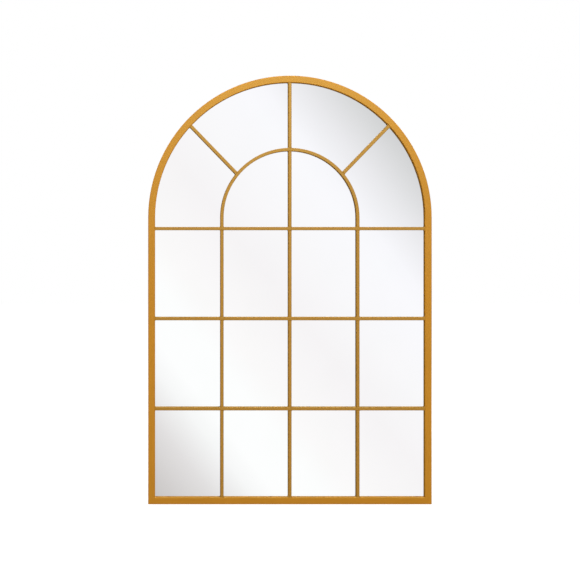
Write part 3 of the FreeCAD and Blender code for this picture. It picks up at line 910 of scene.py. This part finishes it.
@dataclass
class Surroundings:
    """The white round the mirror, which a polished surface sees as a slanting soft gradient.

    A slope is how far a reflected ray runs aside or up for each metre that it runs forward.
    """

    ambient: Colour = (0.08, 0.08, 0.08)
    least_forward: float = 0.2
    gradient_angle: float = 38.0
    gradient_middle: float = 0.0453
    gradient_reach: float = 0.429
    gradient_stops: tuple[tuple[float, Colour], ...] = (
        (0.00, (0.50, 0.485, 0.48)),
        (0.087, (0.661, 0.634, 0.627)),
        (0.154, (0.788, 0.765, 0.765)),
        (0.223, (0.975, 0.973, 0.973)),
        (0.262, (1.03, 1.03, 1.03)),
        (0.338, (1.03, 1.03, 1.03)),
        (0.390, (1.01, 0.991, 0.991)),
        (0.526, (0.965, 0.938, 0.950)),
        (0.626, (0.992, 0.977, 0.995)),
        (0.728, (1.00, 0.991, 1.022)),
        (0.762, (0.983, 0.973, 1.009)),
        (0.829, (0.862, 0.853, 0.878)),
        (0.898, (0.711, 0.711, 0.719)),
        (1.00, (0.50, 0.50, 0.51)),
    )
    left_slopes: tuple[float, float] = (-0.08, -0.01)
    right_slopes: tuple[float, float] = (0.27, 0.35)
    low_slopes: tuple[float, float] = (-0.34, -0.25)
    side_shade: Colour = (0.08, 0.08, 0.08)
    top_slopes: tuple[float, float] = (0.15, 0.27)
    top_light: Colour = (0.9, 0.9, 0.9)
    room_slopes: tuple[float, float] = (0.37, 0.47)
    room_light: Colour = (0.46, 0.46, 0.46)

    def build(self) -> None:
        """Make the world: white behind everything, soft and even for dull surfaces."""
        world = bpy.data.worlds.new("studio_world")
        world.use_nodes = True
        bpy.context.scene.world = world
        nodes = Nodes(world.node_tree)
        path = nodes.add("ShaderNodeLightPath", {}, {})
        camera, glossy, through = (
            Term(nodes, path.outputs[name])
            for name in ("Is Camera Ray", "Is Glossy Ray", "Is Transmission Ray")
        )
        unseen = nodes.mix(glossy, self.ambient, self._reflected(nodes))
        seen = nodes.mix(camera.at_least(through), unseen, WHITE)
        background = nodes.add("ShaderNodeBackground", {}, {"Color": seen, "Strength": 1.0})
        nodes.add("ShaderNodeOutputWorld", {}, {"Surface": background.outputs[0]})
        LOG.info("studio_world is white")

    def _reflected(self, nodes: Nodes) -> bpy.types.NodeSocket:
        """What polished surfaces see: the gradient in the middle, its shaded sides and the room round it.

        Args:
            nodes: The tree.

        Returns:
            Its colour in each direction.
        """
        x, y, z = nodes.parts(nodes.add("ShaderNodeTexCoord", {}, {}).outputs["Generated"])
        angle = math.radians(self.gradient_angle)
        forward = (0.0 - y).at_least(self.least_forward)
        slope = (x * math.cos(angle) + z * math.sin(angle)) / forward
        share = (slope - self.gradient_middle) / self.gradient_reach + 0.5
        ramp = nodes.add("ShaderNodeValToRGB", {"stops": self.gradient_stops}, {"Fac": share})
        aside, rise = x / forward, z / forward
        topped = nodes.mix(rise.between(*self.top_slopes), ramp.outputs["Color"], self.top_light)
        right = nodes.mix(aside.between(*self.right_slopes), topped, self.side_shade)
        left = nodes.mix(aside.between(*self.left_slopes), self.side_shade, right)
        near = nodes.mix(rise.between(*self.low_slopes), self.side_shade, left)
        outward = (x * x + z * z).root() / forward
        return nodes.mix(outward.between(*self.room_slopes), near, self.room_light)


@dataclass
class ShiftedCamera:
    """The camera of the photograph, which stands left of the mirror's middle with its film shifted back."""

    photo_pixels: float = 580.0
    metres_per_pixel: float = 0.00215
    view_centre: Vector = field(default_factory=lambda: Vector((0.0, -0.1298)))
    offset: Vector = field(default_factory=lambda: Vector((-0.29, 0.1161)))
    distance: float = 2.4
    sensor: float = 36.0

    def build(self) -> None:
        """Set the camera up and look through it."""
        width = self.photo_pixels * self.metres_per_pixel
        lens = bpy.data.cameras.new("camera")
        lens.sensor_width = self.sensor
        lens.lens = self.sensor * self.distance / width
        lens.shift_x = -self.offset.x / width
        lens.shift_y = -self.offset.y / width
        camera = bpy.data.objects.new("camera", lens)
        bpy.context.scene.collection.objects.link(camera)
        spot = self.view_centre + self.offset
        camera.location = (spot.x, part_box("front_hoop")[0].y - self.distance, spot.y)
        camera.rotation_euler = (math.pi / 2, 0.0, 0.0)
        bpy.context.scene.camera = camera
        LOG.info("camera stands %.2f m away", self.distance)


@dataclass
class Studio:
    """A pale floor, the white surroundings, the camera and soft boxes in front, above and behind."""

    floor: Floor = field(default_factory=Floor)
    surroundings: Surroundings = field(default_factory=Surroundings)
    camera: ShiftedCamera = field(default_factory=ShiftedCamera)
    lamps: tuple[Lamp, ...] = (
        Lamp("key_box", (0.0, -5.0, 2.0), size=1.2, power=140.0),
        Lamp("gloss_box", (0.6, -5.0, 2.4), size=2.6, power=175.0, mirrored=True),
        Lamp("top_box", (0.0, -0.12, 1.7), size=0.6, power=24.0, aim=(0.0, -0.05, -0.1)),
        Lamp("back_left_box", (-2.2, 1.2, 1.2), size=1.2, power=45.0, aim=(0.0, 0.0, -0.1), mirrored=True),
        Lamp("back_right_box", (2.2, 1.2, 1.2), size=1.2, power=45.0, aim=(0.0, 0.0, -0.1), mirrored=True),
    )

    def build(self) -> None:
        """Set everything up round the mirror."""
        self.floor.build()
        self.surroundings.build()
        self.camera.build()
        for lamp in self.lamps:
            lamp.build()
        bpy.context.scene.view_settings.view_transform = "Standard"


def main() -> None:
    """Dress the mirror and build the studio round it."""
    logging.basicConfig(level=logging.INFO)
    sizes = GridSizes.read()
    painted = PaintedFrame(sizes)
    painted.build()
    # The weld beads take the bars' darkened paint, with its painted shade.
    WeldBeads(sizes, painted.shaded_bar_paint(Run.LEVEL)).build()
    Glazing().build()
    BackFittings().build()
    Studio().build()


if __name__ == "__main__":
    main()
